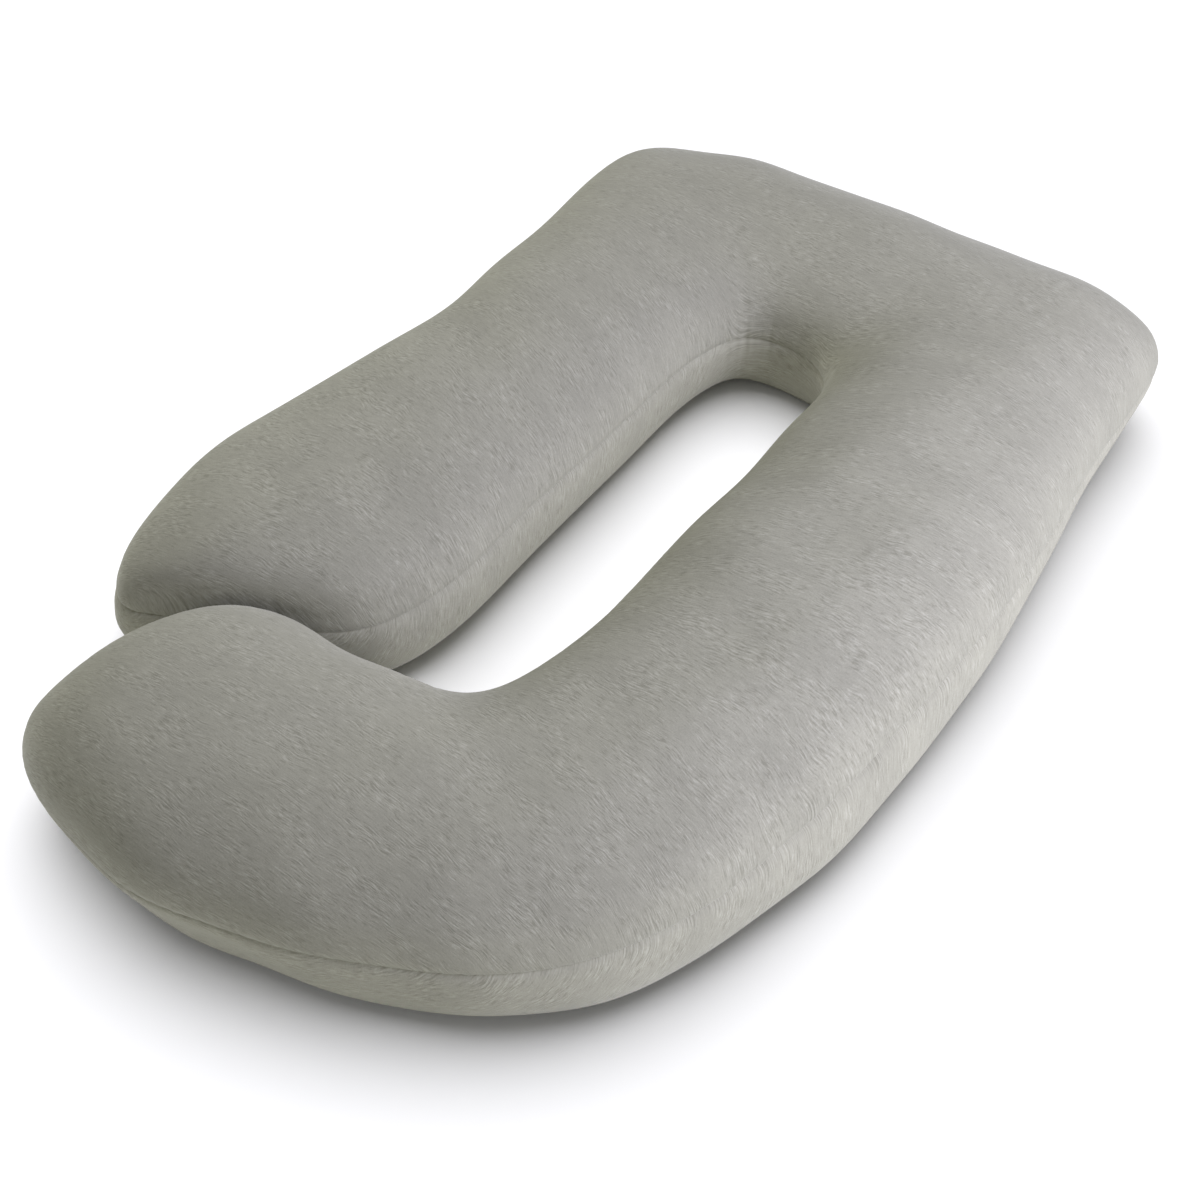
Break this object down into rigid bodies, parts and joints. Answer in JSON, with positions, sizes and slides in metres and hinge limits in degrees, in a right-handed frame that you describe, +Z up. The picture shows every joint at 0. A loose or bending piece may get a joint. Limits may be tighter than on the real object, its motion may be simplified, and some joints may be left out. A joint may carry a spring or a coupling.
{
  "type": "body pillow",
  "caption": "Full-length body pillow with a long arm and a foot that hooks back to a short arm, in heathered grey jersey with a sewn rim seam.",
  "frame": {"origin": "on the surface that the pillow lies on, under the centre of its bounding box", "axes": "+Z up from the surface, +Y towards the head end, +X towards the long arm"},
  "size_m": [0.912, 1.4067, 0.2096],
  "materials": {
    "jersey": "heathered grey knitted jersey, matt and softly brushed"
  },
  "bodies": {
    "root": {"pillow": "jersey"}
  },
  "joints": []
}
